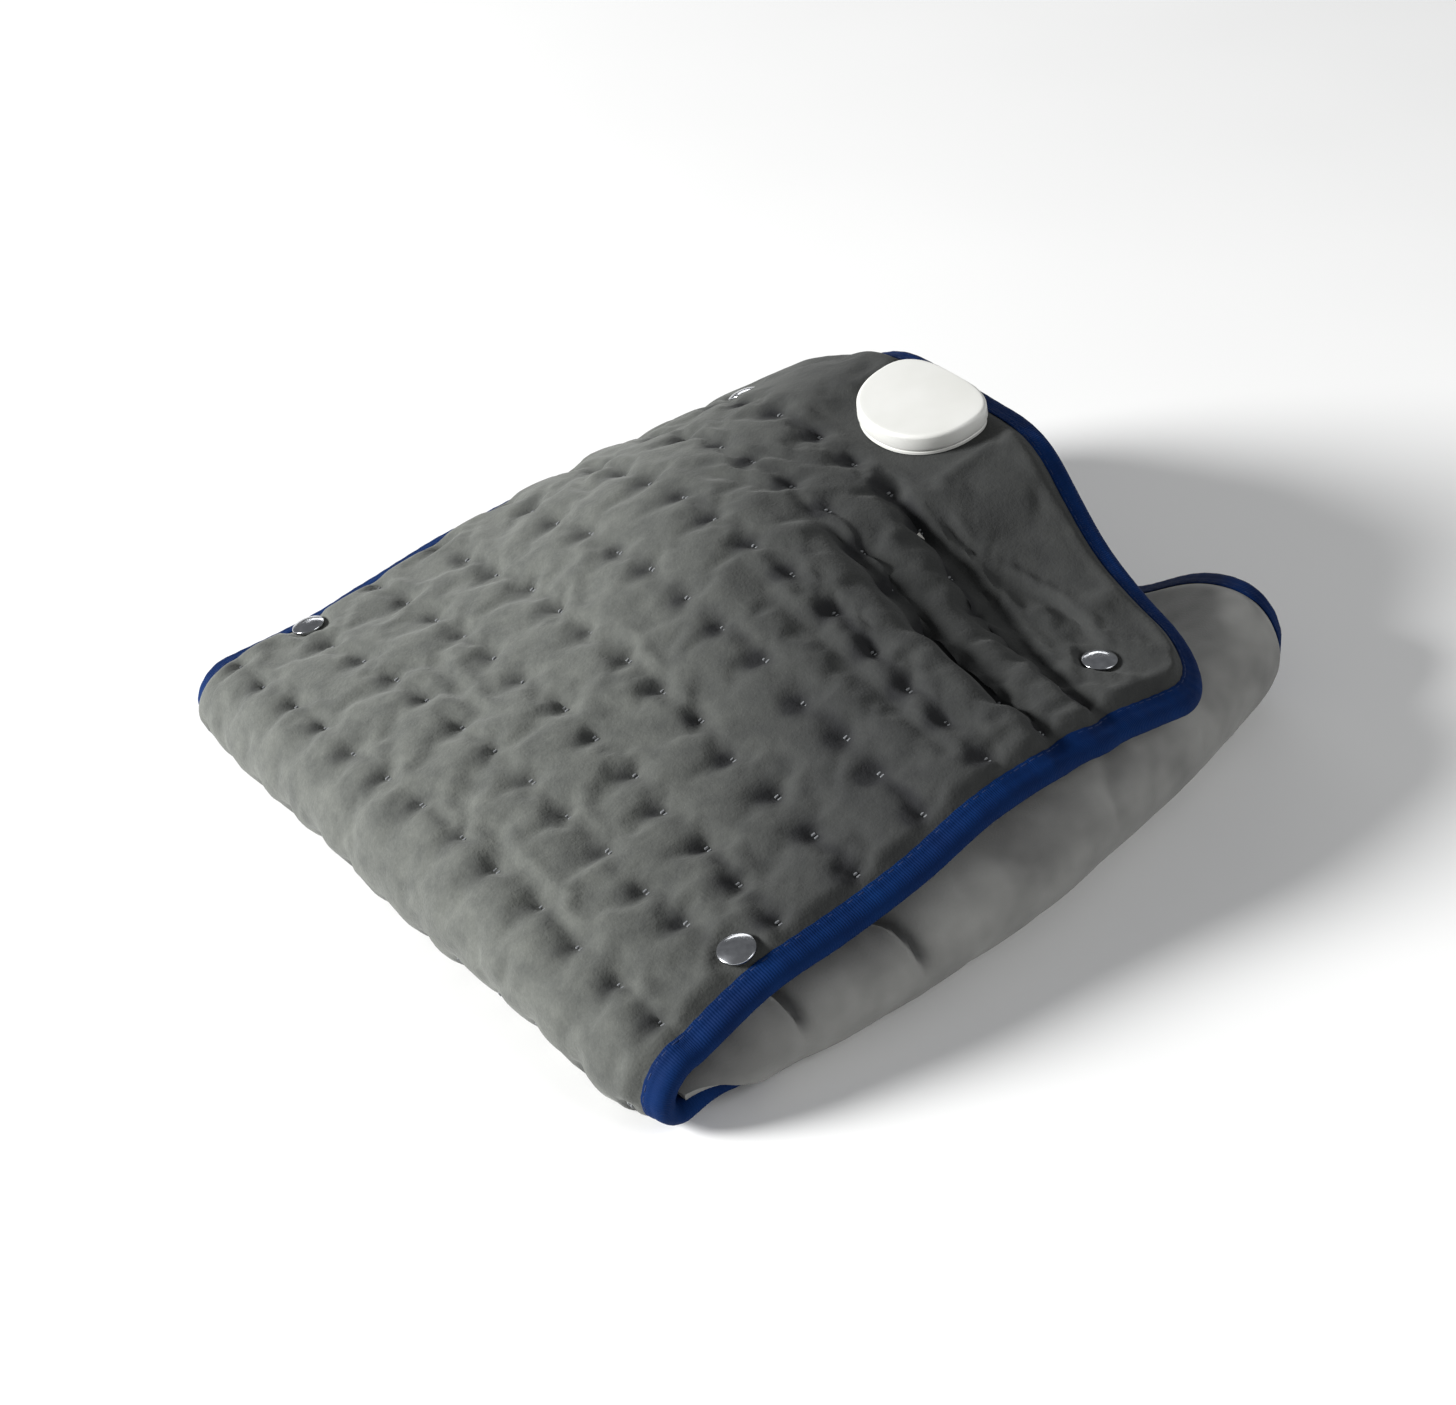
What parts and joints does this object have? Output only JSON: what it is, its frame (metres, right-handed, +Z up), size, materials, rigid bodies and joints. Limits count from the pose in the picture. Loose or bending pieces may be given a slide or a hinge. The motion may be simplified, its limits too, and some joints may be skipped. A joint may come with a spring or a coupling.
{
  "type": "heating pad",
  "caption": "Quilted electric heating pad folded in half, with tape binding, snap fasteners and a moulded power inlet near its end.",
  "frame": {"origin": "on the table under the lower half, 150 mm from the fold's reference line towards the free ends and 40 mm to the far side of the pad's middle line", "axes": "+Z up, +X from the fold towards the free ends, -Y towards the near side"},
  "size_m": [0.326, 0.306, 0.0977],
  "materials": {
    "plush": "short grey micro-plush",
    "back_cloth": "smooth grey brushed cloth",
    "navy_tape": "navy woven binding tape with a slight sheen",
    "fleece": "white polyester wadding",
    "felt": "needled carrier felt",
    "silicone_wire": "silicone insulation",
    "dark_plastic": "moulded, matt",
    "polished_steel": "bright nickel-plated steel",
    "white_plastic": "moulded, semi-gloss",
    "board_laminate": "glass-fibre laminate with solder mask",
    "brass_contact": "bright contacts"
  },
  "bodies": {
    "lower_half": {"base_front_cover": "plush", "base_back_cover": "back_cloth", "base_wadding": "fleece", "base_heating_felt": "felt", "base_heating_wire": "silicone_wire", "base_binding": "navy_tape", "fold_front_cover": "plush", "fold_back_cover": "back_cloth", "fold_binding_near": "navy_tape", "fold_binding_far": "navy_tape", "fold_wire_near": "silicone_wire", "fold_wire_far": "silicone_wire"},
    "upper_half": {"flap_front_cover": "plush", "flap_back_cover": "back_cloth", "flap_wadding": "fleece", "flap_heating_felt": "felt", "flap_heating_wire": "silicone_wire", "flap_return_wire": "silicone_wire", "flap_binding": "navy_tape", "temperature_sensor": "dark_plastic", "lead_live": "silicone_wire", "lead_return": "silicone_wire", "snap_cap_fold_near": "polished_steel", "snap_stud_fold_near": "polished_steel", "snap_cap_fold_far": "polished_steel", "snap_stud_fold_far": "polished_steel", "snap_cap_end_near": "polished_steel", "snap_socket_end_near": "polished_steel", "snap_cap_end_far": "polished_steel", "snap_socket_end_far": "polished_steel", "connector_cap": "white_plastic", "connector_base": "white_plastic", "connector_clamp_plate": "white_plastic", "connector_screw_1": "polished_steel", "connector_screw_2": "polished_steel", "connector_screw_3": "polished_steel", "circuit_board": "board_laminate", "pin_block": "dark_plastic", "thermal_fuse": "polished_steel", "contact_pin_1": "brass_contact", "contact_pin_2": "brass_contact", "contact_pin_3": "brass_contact", "contact_pin_4": "brass_contact"}
  },
  "joints": [
    {"name": "fold", "type": "hinge", "parent": "lower_half", "child": "upper_half", "pos_m": [-0.155, -0.04, 0.017], "axis": [0, -1, 0], "range_deg": [0, 160], "deforming": ["fold_front_cover", "fold_back_cover", "fold_binding_near", "fold_binding_far", "fold_wire_near", "fold_wire_far"]}
  ]
}
